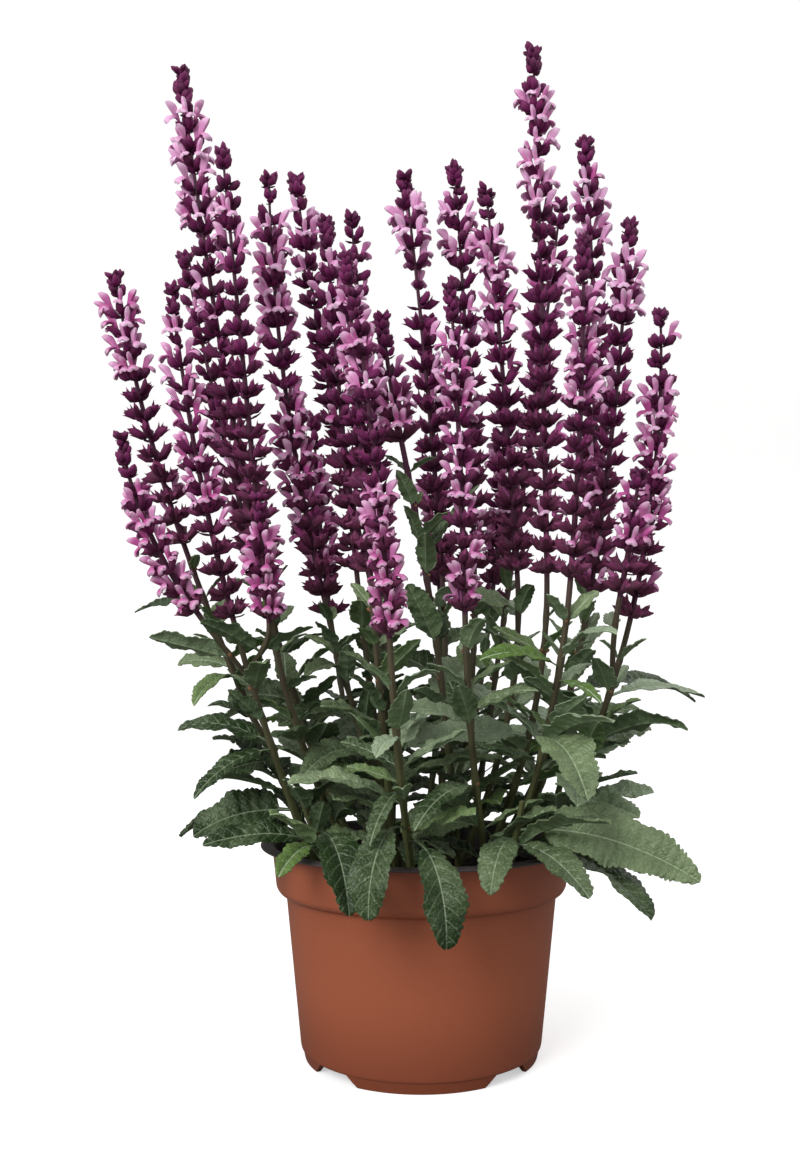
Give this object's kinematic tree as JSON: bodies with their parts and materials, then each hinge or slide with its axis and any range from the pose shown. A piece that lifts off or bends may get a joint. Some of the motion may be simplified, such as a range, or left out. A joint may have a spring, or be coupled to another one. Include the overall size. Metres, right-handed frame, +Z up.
{
  "type": "perennial salvia",
  "caption": "Perennial salvia in a grower's pot: upright flower spikes of dark calyces and two-lipped florets above a mound of toothed, wrinkled leaves.",
  "frame": {"origin": "under the middle of the plant, on the ground, which is the pot's own axis to within a few millimetres", "axes": "+Z up along the pot's axis; -Y is the side seen from the front; +X to the right of a viewer who faces +Y"},
  "size_m": [0.3773, 0.2706, 0.594],
  "materials": {
    "pot": "satin",
    "soil": "matte",
    "leaf": "matte",
    "spike": "matte"
  },
  "bodies": {
    "root": {"pot": "pot", "soil": "soil", "leafy_stem_A": "leaf", "leafy_stem_B": "leaf", "leafy_stem_C": "leaf", "leafy_stem_E": "leaf", "leafy_stem_F": "leaf", "leafy_stem_G": "leaf", "leafy_stem_H": "leaf", "leafy_stem_I": "leaf", "leafy_stem_J": "leaf", "leafy_stem_K": "leaf", "leafy_stem_K2": "leaf", "leafy_stem_L": "leaf", "leafy_stem_M": "leaf", "leafy_stem_N": "leaf", "leafy_stem_O": "leaf", "leafy_stem_P": "leaf", "leafy_stem_Q": "leaf", "leafy_stem_R": "leaf", "leafy_stem_S": "leaf", "leafy_stem_T": "leaf", "leafy_stem_U": "leaf", "leafy_stem_V": "leaf", "leafy_stem_W": "leaf", "leafy_stem_X": "leaf", "leafy_stem_Y": "leaf", "leafy_shoot_front_left": "leaf", "leafy_shoot_front_right": "leaf", "leafy_shoot_right": "leaf", "leafy_shoot_back_left": "leaf", "flower_spike_A": "spike", "flower_spike_B": "spike", "flower_spike_C": "spike", "flower_spike_D": "spike", "flower_spike_AA": "spike", "flower_spike_E": "spike", "flower_spike_F": "spike", "flower_spike_G": "spike", "flower_spike_H": "spike", "flower_spike_I": "spike", "flower_spike_J": "spike", "flower_spike_K": "spike", "flower_spike_K2": "spike", "flower_spike_L": "spike", "flower_spike_M": "spike", "flower_spike_N": "spike", "flower_spike_O": "spike", "flower_spike_P": "spike", "flower_spike_Q": "spike", "flower_spike_R": "spike", "flower_spike_S": "spike", "flower_spike_T": "spike", "flower_spike_U": "spike", "flower_spike_U2": "spike", "flower_spike_V": "spike", "flower_spike_W": "spike", "flower_spike_X": "spike", "flower_spike_Y": "spike"}
  },
  "joints": []
}
